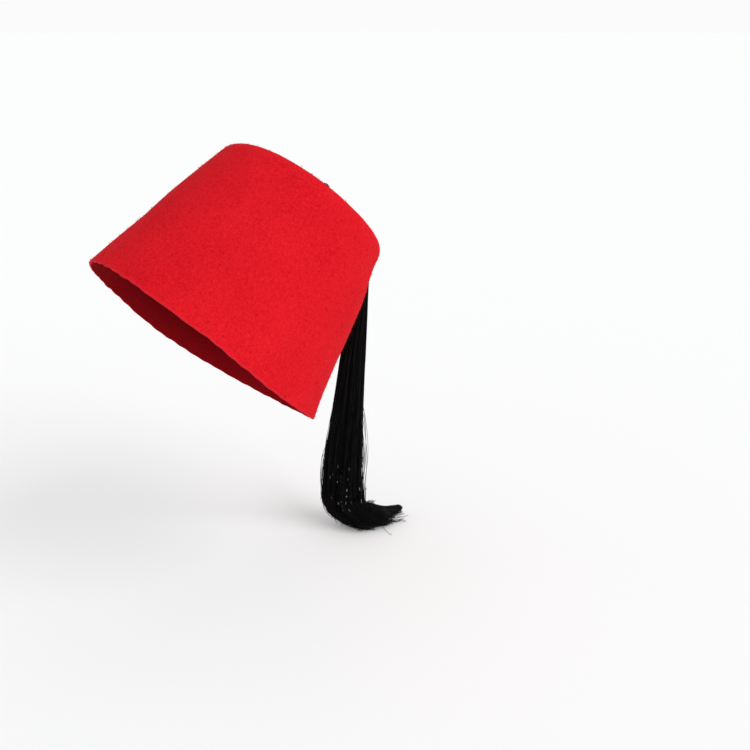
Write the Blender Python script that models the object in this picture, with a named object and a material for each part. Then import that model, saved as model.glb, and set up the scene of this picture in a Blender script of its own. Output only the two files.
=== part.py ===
"""A red felt fez with its cord, knob and tassel, held at the tilt that it is worn at.

Units are metres, and +Z is up. The wearer faces -Y. The origin is the middle of the
rim opening. The crown, cord, knob and binding are modelled in the hat's own frame
(x across, y to the back, z along the hat's axis), and an empty leans that frame back.
The tassel hangs under its own weight, so its skirt is given in the upright frame.
"""

from math import atan, atan2, cos, exp, hypot, pi, radians, remainder, sin, sqrt, tau
from typing import NamedTuple

import bmesh
import bpy
import numpy as np
from mathutils import Matrix, Vector

# The crown, in the hat's own frame
RIM_HALF_LENGTH = 0.0990  # front to back, outside the felt
RIM_HALF_WIDTH = 0.0848
TOP_RADIUS = 0.0670  # where the side and the top would meet without the shoulder
SIDE_HEIGHT = 0.1305
SHOULDER_RADIUS = 0.0131
DOME_RISE = 0.0091
RIM_SADDLE = 0.0035  # front and back edges stand this much above the mean rim, sides below
RIM_LIFT = 0.0016  # the edge also rises this much by each temple
LIFT_TURN = radians(113.5)  # from the back
LIFT_SPREAD = radians(20.5)
SADDLE_TOP = 2 / 3  # share of the side's height at which the saddle and the lift are gone
FELT = 0.0020
CORD_HOLE_RADIUS = 0.0016
LEAN_BACK = radians(43.06)

# How finely the crown is divided
CROWN_SEGMENTS = 60
SIDE_STEPS = 7
SHOULDER_STEPS = 6
DOME_STEPS = 5

# The cord: it runs over the top a little to the wearer's right of the middle
CORD_RADIUS = 0.0008
CORD_SIDES = 8
CORD_STATIONS = 48
CORD_END_UNDER_KNOT = 0.0006
CORD_LEVEL_IN_SOCKET = 0.0040  # before the socket's mouth, where it lies on the knob's axis
KNOT_RADIUS = 0.0026
KNOT_HALF_LENGTH = 0.0030
CORD_TURN = radians(7.0)  # from straight back towards the wearer's right

# The knob and the binding, along their own axis
KNOB_RADIUS = 0.0060
KNOB_LENGTH = 0.0110
KNOB_BASE_RADIUS = 0.0042
SOCKET_RADIUS = 0.0022
SOCKET_DEPTH = 0.0040
SOCKET_LIP = 0.0012
KNOB_SEGMENTS = 20
KNOB_FLANK_STEPS = 4
KNOB_BULB_STEPS = 5
SOCKET_LIP_STEPS = 3
KNOB_DISTANCE = 0.0450  # from the hole to the middle of the knob's base, along the top
KNOB_HEIGHT = 0.0061  # of that point over the felt
KNOB_DIP = radians(14.0)  # the knob's axis falls towards the shoulder
BINDING_LENGTH = 0.0080
BINDING_OUTER_RADIUS = 0.0037
BINDING_INNER_RADIUS = 0.0030
BINDING_STEPS = 6
GAP = 0.0003

# The skirt
LOCK_SHARE = 0.40  # a lock's radius as a share of the bundle's mean half size
LOCK_SIDES = 9
LOCK_STATIONS = 40
SWAY_WAVES = 1.5  # along a lock
CORE_SHARE = 0.80  # the core's half sizes as a share of the bundle's
CORE_SIDES = 14
CORE_END = 0.91
HEAD_RADIUS = 0.0025
TIP_RADIUS = 0.0009
TIP_SHARE = 0.12  # of its length, over which a lock tapers

SPAN_STEPS = 24  # points worked out on each span of a smooth route
SAME_POINT = 1e-6

# Finishes: a colour (linear red, green, blue) and a roughness
RED_FELT = ((0.76, 0.012, 0.022), 0.95)
BLACK_RAYON = ((0.006, 0.006, 0.007), 0.45)


class Swell(NamedTuple):
    """A place where the felt stands out from the block's form, or in where it is negative."""

    turn: float  # round the axis from the back towards the wearer's left, in degrees
    height: float  # as a share of the side
    amount: float
    turn_spread: float  # in degrees
    height_spread: float


class ArchRow(NamedTuple):
    """A point of the cord's arch over the top."""

    distance: float  # from the hole
    height: float  # over the felt


class ShoulderRow(NamedTuple):
    """A section of the skirt where it bends over the shoulder."""

    angle: float  # round the shoulder from level, in degrees
    half_wide: float
    half_thick: float


class SkirtRow(NamedTuple):
    """A section of the skirt: its middle, and its half sizes."""

    x: float
    y: float
    z: float
    half_wide: float  # across, as the skirt lies on the shoulder
    half_thick: float


class LockRow(NamedTuple):
    """A lock of the skirt: where it ends, as a share of the skirt, and how it sways."""

    end: float
    sway: float


SWELLS = (
    Swell(211, 0.62, 0.0009, 45, 0.20),
    Swell(165, 1.00, -0.0014, 35, 0.12),
    Swell(31, 0.16, -0.0023, 40, 0.29),
    Swell(31, 0.90, -0.0027, 45, 0.14),
    Swell(79, 1.02, -0.0022, 50, 0.055),
    Swell(52, 1.00, 0.0015, 35, 0.038),
)

CORD_ARCH = (
    ArchRow(0.0006, 0.0030),
    ArchRow(0.0035, 0.0078),
    ArchRow(0.0075, 0.0096),
    ArchRow(0.0115, 0.0088),
    ArchRow(0.0215, 0.0074),
)

SHOULDER_SKIRT = (
    ShoulderRow(72, 0.0058, 0.0034),
    ShoulderRow(56, 0.0078, 0.0036),
    ShoulderRow(40, 0.0086, 0.0040),
)

HANGING_SKIRT = (
    SkirtRow(-0.0098, 0.1432, 0.0350, 0.0088, 0.0048),
    SkirtRow(-0.0126, 0.1431, 0.0100, 0.0089, 0.0065),
    SkirtRow(-0.0153, 0.1398, -0.0320, 0.0103, 0.0096),
    SkirtRow(-0.0183, 0.1366, -0.0750, 0.0124, 0.0116),
    SkirtRow(-0.0218, 0.1337, -0.1190, 0.0155, 0.0152),
    SkirtRow(-0.0236, 0.1325, -0.1506, 0.0153, 0.0153),
    SkirtRow(-0.0225, 0.1350, -0.1647, 0.0178, 0.0178),
    SkirtRow(-0.0121, 0.1411, -0.1776, 0.0157, 0.0103),
    SkirtRow(-0.0095, 0.1530, -0.1785, 0.0152, 0.0087),
    SkirtRow(-0.0094, 0.1677, -0.1836, 0.0128, 0.0043),
    SkirtRow(-0.0045, 0.1847, -0.1842, 0.0106, 0.0033),
)

LOCKS = (
    LockRow(0.912, 0.0006),
    LockRow(0.940, -0.0008),
    LockRow(0.970, 0.0007),
    LockRow(1.000, -0.0005),
    LockRow(0.990, 0.0008),
    LockRow(0.960, -0.0006),
    LockRow(0.922, 0.0005),
    LockRow(0.905, -0.0007),
)


def clear_scene():
    """Removes every object, so that the script can run again in an open file."""
    for old in list(bpy.data.objects):
        bpy.data.objects.remove(old, do_unlink=True)


def material(name, colour, roughness):
    """A plain Principled material, shown in the viewport with the same colour."""
    made = bpy.data.materials.new(name)
    made.use_nodes = True
    shader = made.node_tree.nodes["Principled BSDF"]
    shader.inputs["Base Color"].default_value = (*colour, 1.0)
    shader.inputs["Roughness"].default_value = roughness
    shader.inputs["Metallic"].default_value = 0.0
    made.diffuse_color = (*colour, 1.0)
    return made


def add_object(name, mesh, finish, parent=None):
    """An object of this mesh in the scene, smooth, with its finish unless that is None."""
    made = bpy.data.objects.new(name, mesh)
    bpy.context.scene.collection.objects.link(made)
    if finish is not None:
        mesh.materials.append(finish)
    made.parent = parent
    mesh.shade_smooth()
    return made


# ---- outlines, turned pieces and tubes ----


def arc(centre, radius, start, end, steps):
    """Points on an arc in the plane of (radius, height), both ends with them."""
    angles = np.linspace(start, end, steps + 1)
    return [
        (centre[0] + radius * cos(angle), centre[1] + radius * sin(angle))
        for angle in angles
    ]


def turned_mesh(name, outline, segments, move=None):
    """A surface turned about Z from an outline of (radius, height), each point then moved."""
    made = bmesh.new()
    points = [made.verts.new((radius, 0, height)) for radius, height in outline]
    edges = [made.edges.new(pair) for pair in zip(points, points[1:])]
    bmesh.ops.spin(
        made,
        geom=points + edges,
        cent=(0, 0, 0),
        axis=(0, 0, 1),
        angle=tau,
        steps=segments,
        use_merge=True,
    )
    bmesh.ops.remove_doubles(made, verts=made.verts, dist=SAME_POINT)
    if move is not None:
        for vertex in made.verts:
            vertex.co = move(vertex.co)
    bmesh.ops.recalc_face_normals(made, faces=made.faces)
    mesh = bpy.data.meshes.new(name)
    made.to_mesh(mesh)
    made.free()
    return mesh


def smooth_route(points, stations):
    """Evenly spaced points on a smooth curve through the route's points (any columns).

    Each span is the cubic whose slope at a point is half the way between its
    neighbours, and the spacing goes by the first three columns.
    """
    points = np.asarray(points, float)
    padded = np.vstack([2 * points[0] - points[1], points, 2 * points[-1] - points[-2]])
    steps = np.linspace(0, 1, SPAN_STEPS, endpoint=False)[:, None]
    spans = []
    for before, start, end, after in zip(padded, padded[1:], padded[2:], padded[3:]):
        leave, arrive = (end - before) / 2, (after - start) / 2
        spans.append(
            (2 * steps**3 - 3 * steps**2 + 1) * start
            + (steps**3 - 2 * steps**2 + steps) * leave
            + (3 * steps**2 - 2 * steps**3) * end
            + (steps**3 - steps**2) * arrive
        )
    fine = np.vstack([*spans, points[-1:]])
    lengths = np.linalg.norm(np.diff(fine[:, :3], axis=0), axis=1)
    along = np.concatenate([[0], np.cumsum(lengths)])
    wanted = np.linspace(0, along[-1], stations)
    return np.stack([np.interp(wanted, along, column) for column in fine.T], axis=1)


def across_and_out(route):
    """For each point of a route, the axis across it (as near X as can be) and the one square to both."""
    tangents = np.gradient(route, axis=0)
    tangents /= np.linalg.norm(tangents, axis=1, keepdims=True)
    wide = np.array([1.0, 0, 0]) - tangents * tangents[:, :1]
    wide /= np.linalg.norm(wide, axis=1, keepdims=True)
    return wide, np.cross(wide, tangents)


def tube_mesh(name, route, half_wide, half_thick, sides):
    """A closed oval tube: a ring of points round each point of the route, and a cap at each end."""
    wide, out = across_and_out(route)
    angles = np.arange(sides) * tau / sides
    rings = (
        route[:, None]
        + half_wide[:, None, None] * np.cos(angles)[None, :, None] * wide[:, None]
        + half_thick[:, None, None] * np.sin(angles)[None, :, None] * out[:, None]
    )
    count = len(route)
    faces = [
        (
            ring * sides + side,
            ring * sides + (side + 1) % sides,
            (ring + 1) * sides + (side + 1) % sides,
            (ring + 1) * sides + side,
        )
        for ring in range(count - 1)
        for side in range(sides)
    ]
    faces.append(tuple(reversed(range(sides))))
    faces.append(tuple(range((count - 1) * sides, count * sides)))
    mesh = bpy.data.meshes.new(name)
    mesh.from_pydata(rings.reshape(-1, 3).tolist(), [], faces)
    face_outwards(mesh)
    return mesh


def face_outwards(mesh):
    """Turns the faces of a closed mesh to point out of it."""
    made = bmesh.new()
    made.from_mesh(mesh)
    bmesh.ops.recalc_face_normals(made, faces=made.faces)
    made.to_mesh(mesh)
    made.free()


# ---- the crown, in the hat's own frame ----

MEAN_RIM_RADIUS = (RIM_HALF_LENGTH + RIM_HALF_WIDTH) / 2
SIDE_TAPER = (MEAN_RIM_RADIUS - TOP_RADIUS) / SIDE_HEIGHT
SIDE_ANGLE = atan(SIDE_TAPER)
DOME_RADIUS = (TOP_RADIUS**2 + DOME_RISE**2) / (2 * DOME_RISE)
DOME_CENTRE = SIDE_HEIGHT + DOME_RISE - DOME_RADIUS
APEX = SIDE_HEIGHT + DOME_RISE


def shoulder_centre():
    """Centre (radius, height) of the arc that is tangent to the side and to the dome."""
    offset = MEAN_RIM_RADIUS - SHOULDER_RADIUS / cos(SIDE_ANGLE)
    a = 1 + SIDE_TAPER**2
    b = -2 * (offset * SIDE_TAPER + DOME_CENTRE)
    c = offset**2 + DOME_CENTRE**2 - (DOME_RADIUS - SHOULDER_RADIUS) ** 2
    height = (-b + sqrt(b * b - 4 * a * c)) / (2 * a)
    return offset - SIDE_TAPER * height, height


def crown_outline():
    """(radius, height) from the rim up the side, round the shoulder and in to the hole."""
    centre = shoulder_centre()
    dome_start = atan((centre[1] - DOME_CENTRE) / centre[0])
    side_top = centre[1] + SHOULDER_RADIUS * sin(SIDE_ANGLE)
    heights = np.linspace(0, side_top, SIDE_STEPS + 1)[:-1]
    side = [(MEAN_RIM_RADIUS - SIDE_TAPER * height, height) for height in heights]
    shoulder = arc(centre, SHOULDER_RADIUS, SIDE_ANGLE, dome_start, SHOULDER_STEPS)
    hole = pi / 2 - CORD_HOLE_RADIUS / DOME_RADIUS
    dome = arc((0, DOME_CENTRE), DOME_RADIUS, dome_start, hole, DOME_STEPS)
    return side + shoulder + dome[1:]


def dome_height(distance):
    """Height of the felt's outer face at this distance from the hat's axis."""
    return DOME_CENTRE + sqrt(DOME_RADIUS**2 - distance**2)


def swelling(turn, rise):
    """How far the felt stands out here: a bell over turn and height for each swell."""
    total = 0.0
    for swell in SWELLS:
        apart = remainder(turn - radians(swell.turn), tau) / radians(swell.turn_spread)
        above = (rise - swell.height) / swell.height_spread
        total += swell.amount * exp(-(apart**2) - above**2)
    return total


def pressed_on_block(point):
    """Where the oval block, the rim's wave and the swells put a point of the round outline.

    A section is a circle at the top and an ellipse at the rim, and between them both
    half sizes change evenly with height.
    """
    radius = hypot(point.x, point.y)
    share = radius / (MEAN_RIM_RADIUS - SIDE_TAPER * point.z)
    rise = point.z / SIDE_HEIGHT
    long_half = RIM_HALF_LENGTH + (TOP_RADIUS - RIM_HALF_LENGTH) * rise
    wide_half = RIM_HALF_WIDTH + (TOP_RADIUS - RIM_HALF_WIDTH) * rise
    back, across = point.y / radius, point.x / radius
    turn = atan2(across, back)
    lift = RIM_LIFT * exp(-(((abs(turn) - LIFT_TURN) / LIFT_SPREAD) ** 2))
    wave = (RIM_SADDLE * (back**2 - across**2) + lift) * max(0.0, 1 - rise / SADDLE_TOP)
    pressed = Vector(
        (wide_half * share * across, long_half * share * back, point.z + wave)
    )
    outwards = (pressed - Vector((0, 0, SIDE_HEIGHT / 2))).normalized()
    return pressed + outwards * swelling(turn, rise) * min(1, share)


def build_crown(felt, parent):
    """The felt: its outer face is a turned outline pressed to the oval, and Solidify adds the wall."""
    mesh = turned_mesh("crown", crown_outline(), CROWN_SEGMENTS, pressed_on_block)
    crown = add_object("crown", mesh, felt, parent)
    wall = crown.modifiers.new("felt wall", "SOLIDIFY")
    wall.thickness = FELT
    wall.offset = -1
    wall.use_even_offset = True
    return crown


# ---- the cord, the knob and the binding, in the hat's own frame ----


def over_top(distance, height):
    """A point over the top: distance from the hole towards the knob, height over the felt."""
    return Vector(
        (
            -distance * sin(CORD_TURN),
            distance * cos(CORD_TURN),
            dome_height(distance) + height,
        )
    )


KNOB_BASE = over_top(KNOB_DISTANCE, KNOB_HEIGHT)
TOWARDS_SHOULDER = Vector(
    (
        -sin(CORD_TURN) * cos(KNOB_DIP),
        cos(CORD_TURN) * cos(KNOB_DIP),
        -sin(KNOB_DIP),
    )
)


def knob_placement(along):
    """The frame of a turned piece whose base is this far from the knob's base towards the shoulder."""
    turn = (-TOWARDS_SHOULDER).to_track_quat("Z", "X").to_matrix().to_4x4()
    return Matrix.Translation(KNOB_BASE + along * TOWARDS_SHOULDER) @ turn


def knob_outline():
    """From the middle of the base, round the bulb, over the lip and down into the socket."""
    middle = KNOB_LENGTH - KNOB_RADIUS
    spread = KNOB_RADIUS - KNOB_BASE_RADIUS
    flank = [
        (KNOB_BASE_RADIUS + spread * sin(share * pi / 2), share * middle)
        for share in np.linspace(0, 1, KNOB_FLANK_STEPS + 1)[:-1]
    ]
    lip_middle = SOCKET_RADIUS + SOCKET_LIP
    bulb = [
        (
            lip_middle + (KNOB_RADIUS - lip_middle) * cos(angle),
            middle + (KNOB_LENGTH - middle) * sin(angle),
        )
        for angle in np.linspace(0, pi / 2, KNOB_BULB_STEPS + 1)
    ]
    lip_centre = (lip_middle, KNOB_LENGTH - SOCKET_LIP)
    lip = arc(lip_centre, SOCKET_LIP, pi / 2, pi, SOCKET_LIP_STEPS)[1:]
    floor = KNOB_LENGTH - SOCKET_DEPTH
    return [(0, 0), *flank, *bulb, *lip, (SOCKET_RADIUS, floor), (0, floor)]


def build_knob(thread, parent):
    """The bulb that the cord goes into, with its base towards the shoulder."""
    mesh = turned_mesh("tassel_knob", knob_outline(), KNOB_SEGMENTS)
    knob = add_object("tassel_knob", mesh, thread, parent)
    knob.matrix_local = knob_placement(0)
    return knob


def build_binding(thread, parent):
    """A ring of wound thread, a little barrelled, with its lower end at its own origin."""
    inside = [(BINDING_INNER_RADIUS, BINDING_LENGTH), (BINDING_INNER_RADIUS, 0)]
    swell = BINDING_OUTER_RADIUS - BINDING_INNER_RADIUS
    outside = [
        (BINDING_INNER_RADIUS + swell * sqrt(sin(pi * share)), BINDING_LENGTH * share)
        for share in np.linspace(0, 1, BINDING_STEPS + 1)[1:-1]
    ]
    loop = [*inside, *outside, inside[0]]
    mesh = turned_mesh("tassel_binding", loop, KNOB_SEGMENTS)
    binding = add_object("tassel_binding", mesh, thread, parent)
    binding.matrix_local = knob_placement(GAP + BINDING_LENGTH)
    return binding


def cord_route():
    """From the knot inside the crown, up through the hole, in a low arch to the knob's socket."""
    under_knot = APEX - FELT - 2 * KNOT_HALF_LENGTH
    mouth = KNOB_BASE - KNOB_LENGTH * TOWARDS_SHOULDER
    return [
        Vector((0, 0, under_knot - CORD_END_UNDER_KNOT)),
        Vector((0, 0, under_knot + KNOT_HALF_LENGTH)),
        Vector((0, 0, APEX - FELT / 2)),
        *(over_top(*row) for row in CORD_ARCH),
        mouth - CORD_LEVEL_IN_SOCKET * TOWARDS_SHOULDER,
        mouth,
        mouth + (SOCKET_DEPTH - GAP) * TOWARDS_SHOULDER,
    ]


def build_cord(thread, parent):
    """One round cord, whose inner end swells into a plain knot."""
    route = smooth_route(cord_route(), CORD_STATIONS)
    knot_middle = APEX - FELT - KNOT_HALF_LENGTH - GAP
    from_knot = np.clip(np.abs(route[:, 2] - knot_middle) / KNOT_HALF_LENGTH, 0, 1)
    under = np.arange(CORD_STATIONS) < CORD_STATIONS // 4
    swell = np.where(under, np.sqrt(1 - from_knot**2), 0)
    radii = CORD_RADIUS + (KNOT_RADIUS - CORD_RADIUS) * swell
    mesh = tube_mesh("cord", route, radii, radii, CORD_SIDES)
    return add_object("cord", mesh, thread, parent)


# ---- the skirt, in the upright frame ----


def skirt_head():
    """The skirt's rows from inside the binding to the back of the shoulder."""
    leaned = Matrix.Rotation(-LEAN_BACK, 4, "X")
    end_of_binding = GAP + BINDING_LENGTH
    radius, height = shoulder_centre()
    rows = []
    for along in (GAP, end_of_binding / 2, end_of_binding):
        point = leaned @ (KNOB_BASE + along * TOWARDS_SHOULDER)
        rows.append(SkirtRow(*point, HEAD_RADIUS, HEAD_RADIUS))
    for row in SHOULDER_SKIRT:
        angle = radians(row.angle)
        reach = SHOULDER_RADIUS + 2 * GAP + row.half_thick
        distance = radius + reach * cos(angle)
        across, back = -distance * sin(CORD_TURN), distance * cos(CORD_TURN)
        point = leaned @ Vector((across, back, height + reach * sin(angle)))
        rows.append(SkirtRow(*point, row.half_wide, row.half_thick))
    return rows


def bundle_sections(skirt, end, count):
    """The skirt's sections from its head to this share of its length."""
    wanted = np.linspace(0, end, count) * (len(skirt) - 1)
    rows = np.arange(len(skirt))
    bundle = np.stack([np.interp(wanted, rows, column) for column in skirt.T], axis=1)
    return bundle[:, :3], bundle[:, 3], bundle[:, 4]


def tip_taper(count):
    """1 along the lock, and down to 0 at its tip as a round end goes."""
    return np.sqrt(np.clip((1 - np.linspace(0, 1, count)) / TIP_SHARE, 0, 1))


def ring_lock(name, skirt, angle, row):
    """A lock of the ring: it keeps its place in the bundle, sways a little and tapers to its tip."""
    count = round(LOCK_STATIONS * row.end)
    middle, half_wide, half_thick = bundle_sections(skirt, row.end, count)
    wide, out = across_and_out(middle)
    along = np.linspace(0, 1, count)
    sway = row.sway * np.sin(along * tau * SWAY_WAVES) * np.sin(along * pi)
    radii = LOCK_SHARE * np.sqrt(half_wide * half_thick)
    centre = (
        middle
        + (np.maximum(half_wide - radii, 0) * cos(angle) + sway)[:, None] * wide
        + (np.maximum(half_thick - radii, 0) * sin(angle))[:, None] * out
    )
    radii = TIP_RADIUS + (radii - TIP_RADIUS) * tip_taper(count)
    return add_object(name, tube_mesh(name, centre, radii, radii, LOCK_SIDES), None)


def core_lock(name, skirt, thread):
    """The oval core of the skirt, with its head in the binding, which the ring is fused to."""
    middle, half_wide, half_thick = bundle_sections(skirt, CORE_END, LOCK_STATIONS)
    share = CORE_SHARE * tip_taper(LOCK_STATIONS)
    mesh = tube_mesh(
        name,
        middle,
        TIP_RADIUS + (half_wide - TIP_RADIUS) * share,
        TIP_RADIUS + (half_thick - TIP_RADIUS) * share,
        CORE_SIDES,
    )
    return add_object(name, mesh, thread)


def build_tassel(thread):
    """The skirt: a core with the head on it, and a ring of locks fused to it."""
    skirt = smooth_route([*skirt_head(), *HANGING_SKIRT], 4 * LOCK_STATIONS)
    locks = bpy.data.collections.new("locks")
    bpy.context.scene.collection.children.link(locks)
    for number, row in enumerate(LOCKS):
        angle = tau * (number + 0.5) / len(LOCKS)
        lock = ring_lock(f"lock_{number}", skirt, angle, row)
        bpy.context.scene.collection.objects.unlink(lock)
        locks.objects.link(lock)
        lock.hide_render = True
        lock.display_type = "WIRE"
    core = core_lock("tassel", skirt, thread)
    fuse = core.modifiers.new("fuse locks", "BOOLEAN")
    fuse.operation = "UNION"
    fuse.operand_type = "COLLECTION"
    fuse.collection = locks
    fuse.solver = "EXACT"
    return core


def main():
    clear_scene()
    felt = material("red felt", *RED_FELT)
    thread = material("black rayon thread", *BLACK_RAYON)
    hat = bpy.data.objects.new("leaned_hat", None)
    bpy.context.scene.collection.objects.link(hat)
    hat.rotation_euler = (-LEAN_BACK, 0, 0)
    build_crown(felt, hat)
    build_cord(thread, hat)
    build_knob(thread, hat)
    build_binding(thread, hat)
    build_tassel(thread)


if __name__ == "__main__":
    main()
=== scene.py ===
"""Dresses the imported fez: red wool felt, a twisted cord, a wrapped knob, its binding and a tassel.

Sizes are metres. The crown, cord, knob and binding are worked out in the hat's own frame
(x across, y to the back, z along the hat's axis) and then leaned back as the hat is worn.
The skirt of the tassel hangs in the upright frame, down to the floor.
"""

import logging
from dataclasses import dataclass
from enum import Enum
from functools import cached_property
from math import atan, cos, pi, radians, sin, sqrt, tau
from typing import Callable, NamedTuple, Sequence

import bpy
import numpy as np
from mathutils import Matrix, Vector


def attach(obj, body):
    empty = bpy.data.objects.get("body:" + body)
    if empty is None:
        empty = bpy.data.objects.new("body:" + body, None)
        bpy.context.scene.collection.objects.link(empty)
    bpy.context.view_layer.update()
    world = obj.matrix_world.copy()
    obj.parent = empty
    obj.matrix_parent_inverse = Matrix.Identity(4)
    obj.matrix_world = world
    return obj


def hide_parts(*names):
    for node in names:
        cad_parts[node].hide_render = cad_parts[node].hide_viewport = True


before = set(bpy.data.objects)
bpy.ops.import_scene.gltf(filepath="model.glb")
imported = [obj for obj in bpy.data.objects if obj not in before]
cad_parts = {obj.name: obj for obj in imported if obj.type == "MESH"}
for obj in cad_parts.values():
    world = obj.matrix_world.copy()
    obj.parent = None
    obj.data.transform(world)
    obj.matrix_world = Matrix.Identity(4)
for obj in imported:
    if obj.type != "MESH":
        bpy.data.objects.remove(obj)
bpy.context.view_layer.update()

log = logging.getLogger("fez")

Array = np.ndarray
Object = bpy.types.Object
Material = bpy.types.Material
Colour = Triple = tuple[float, float, float]
Span = tuple[float, float]
Section = tuple[float, ...]  # x, y, z, half width and half thickness

SEED = 874
LEAN_BACK = radians(43.06)
FLOOR = -0.18800
BODY = "root"
STRAND_MAP = "OFBake"  # the UV map that holds a cell for each strand
GAP = 0.0003


class Slot(Enum):
    """The record's material slots."""

    FELT = "felt"
    CORD = "cord_thread"
    TASSEL = "tassel_thread"


# ---- surfaces ----


def leaned(points: Array) -> Array:
    """Points of the hat's own frame, where the worn hat has them.

    Formula: a turn about x by the lean, so y becomes y cos + z sin, and z becomes z cos - y sin.

    Args:
        points: any array whose last axis is x, y, z.

    Returns:
        An array of the same form in the upright frame.
    """
    x, y, z = np.moveaxis(points, -1, 0)
    c, s = cos(LEAN_BACK), sin(LEAN_BACK)
    return np.stack([x, y * c + z * s, z * c - y * s], axis=-1)


def unit(vectors: Array) -> Array:
    """Vectors of length one, with the directions of those given."""
    return vectors / np.linalg.norm(vectors, axis=-1, keepdims=True)


def smoothstep(low: float, high: float, value: Array) -> Array:
    """0 below low, 1 above high, and 3t^2 - 2t^3 between them, t being the share of the way."""
    share = np.clip((value - low) / (high - low), 0, 1)
    return share * share * (3 - 2 * share)


def once_round(count: int) -> Array:
    """Even angles round a circle, in one row."""
    return (np.arange(count) * tau / count)[None]


def arc(middle: Span, halves: Span | float, angle: Array) -> Array:
    """(radius, height) at angles up from level on an ellipse with this middle and half sizes."""
    return np.array(middle) + np.array(halves) * np.stack([np.cos(angle), np.sin(angle)], axis=1)


def turned_rings(radius: Array | float, height: Array | float, angle: Array) -> Array:
    """Points at (radius cos, radius sin, height) for each row and angle."""
    places = (radius * np.cos(angle), radius * np.sin(angle), height)
    return np.stack(np.broadcast_arrays(*places), axis=-1)


def thread_ridge(phase: Array) -> Array:
    """The outline of round threads side by side: sqrt(1 - t^2) with t from -0.95 to 0.95 in each."""
    across = (phase % 1.0 * 2 - 1) * 0.95
    return np.sqrt(1 - across**2)


def touching(angle: Array, count: int, size: float) -> Array:
    """The outline of a bundle of round strands, one of them at angle 0.

    Formula: with a strand's radius s and its middle at 1 - s, the outline is
    (1 - s) cos a + sqrt(s^2 - (1 - s)^2 sin^2 a), a being the angle to the nearest strand.

    Args:
        angle: round the bundle.
        count: how many strands there are.
        size: a strand's radius as a share of the bundle's.

    Returns:
        Shares of the bundle's radius.
    """
    step = tau / count
    apart = (angle + step / 2) % step - step / 2
    side = (1 - size) * np.sin(apart)
    return (1 - size) * np.cos(apart) + np.sqrt(np.maximum(size**2 - side**2, 0))


def smooth_route(points: Sequence[Section], stations: int, fineness: int = 24) -> Array:
    """Evenly spaced points on a smooth curve through a route's points, of any columns.

    Formula: each span is the cubic whose slope at a point is half the way between its
    neighbours, and the spacing goes by the length of the first three columns.

    Args:
        points: the route's rows, x, y and z first.
        stations: how many rows come back.
        fineness: how many points are worked out on each span.

    Returns:
        The rows along the curve.
    """
    points = np.array(points, float)
    padded = np.vstack([2 * points[0] - points[1], points, 2 * points[-1] - points[-2]])
    before, start, end, after = (padded[i : len(padded) - 3 + i, None] for i in range(4))
    t = np.linspace(0, 1, fineness, endpoint=False)[None, :, None]
    curve = (
        (2 * t**3 - 3 * t**2 + 1) * start
        + (t**3 - 2 * t**2 + t) * (end - before) / 2
        + (3 * t**2 - 2 * t**3) * end
        + (t**3 - t**2) * (after - start) / 2
    )
    fine = np.vstack([curve.reshape(-1, points.shape[1]), points[-1:]])
    along = distances(fine)
    wanted = np.linspace(0, along[-1], stations)
    return np.stack([np.interp(wanted, along, column) for column in fine.T], axis=1)


def distances(route: Array) -> Array:
    """How far each point of a route is from its start, along it."""
    return np.concatenate([[0], np.cumsum(np.linalg.norm(np.diff(route[:, :3], axis=0), axis=1))])


def across_and_out(route: Array) -> tuple[Array, Array]:
    """The two axes square to each point of a route, the first as near x as can be.

    Formula: x less its share along the tangent, made a unit vector, and its cross
    product with the tangent.

    Args:
        route: points (..., stations, 3).

    Returns:
        The axis across and the axis out, each of the route's form.
    """
    tangent = unit(np.gradient(route, axis=-2))
    across = unit(np.array([1.0, 0, 0]) - tangent * tangent[..., :1])
    return across, np.cross(across, tangent)


def set_off(middle: Array, axes: Sequence[Array], across: Array, out: Array) -> Array:
    """Points that lie so far across and so far out from a middle line, along its two axes."""
    return middle + across[..., None] * axes[0] + out[..., None] * axes[1]


def grid_faces(rows: int, columns: int, looped: bool) -> Array:
    """Quads between the points of a grid whose columns close on themselves.

    Args:
        rows: how many rings of points there are.
        columns: how many points a ring has.
        looped: whether the last ring joins the first.

    Returns:
        Vertex numbers, four for each quad.
    """
    row, column = np.indices((rows if looped else rows - 1, columns))
    below, beside = (row + 1) % rows, (column + 1) % columns
    corners = ((row, column), (row, beside), (below, beside), (below, column))
    return np.stack([r * columns + c for r, c in corners], axis=-1).reshape(-1, 4)


def fan(ring: Array, centre: int) -> Array:
    """Triangles from each side of a ring of vertices to its centre."""
    return np.stack([ring, np.roll(ring, -1), np.full(len(ring), centre)], axis=1)


def facing_out(points: Array, faces: Sequence[Array]) -> list[Array]:
    """The faces of a closed surface, turned over if they point into it.

    Formula: the sum of a . (b x c) over the triangles is six times the volume, and it
    is negative where the faces point inwards.

    Args:
        points: the vertices.
        faces: arrays of triangles or quads.

    Returns:
        The same faces, or all of them turned over.
    """
    volume = 0.0
    for part in faces:
        for second in range(1, part.shape[1] - 1):
            a, b, c = (points[part[:, i]] for i in (0, second, second + 1))
            volume += float(np.einsum("ij,ij->", a, np.cross(b, c)))
    return list(faces) if volume > 0 else [part[:, ::-1] for part in faces]


def add_object(name: str, data: bpy.types.ID) -> Object:
    """Makes an object and links it to the scene.

    Args:
        name: its name.
        data: its mesh, lamp or camera.

    Returns:
        The object.
    """
    made = bpy.data.objects.new(name, data)
    bpy.context.scene.collection.objects.link(made)
    return made


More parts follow.
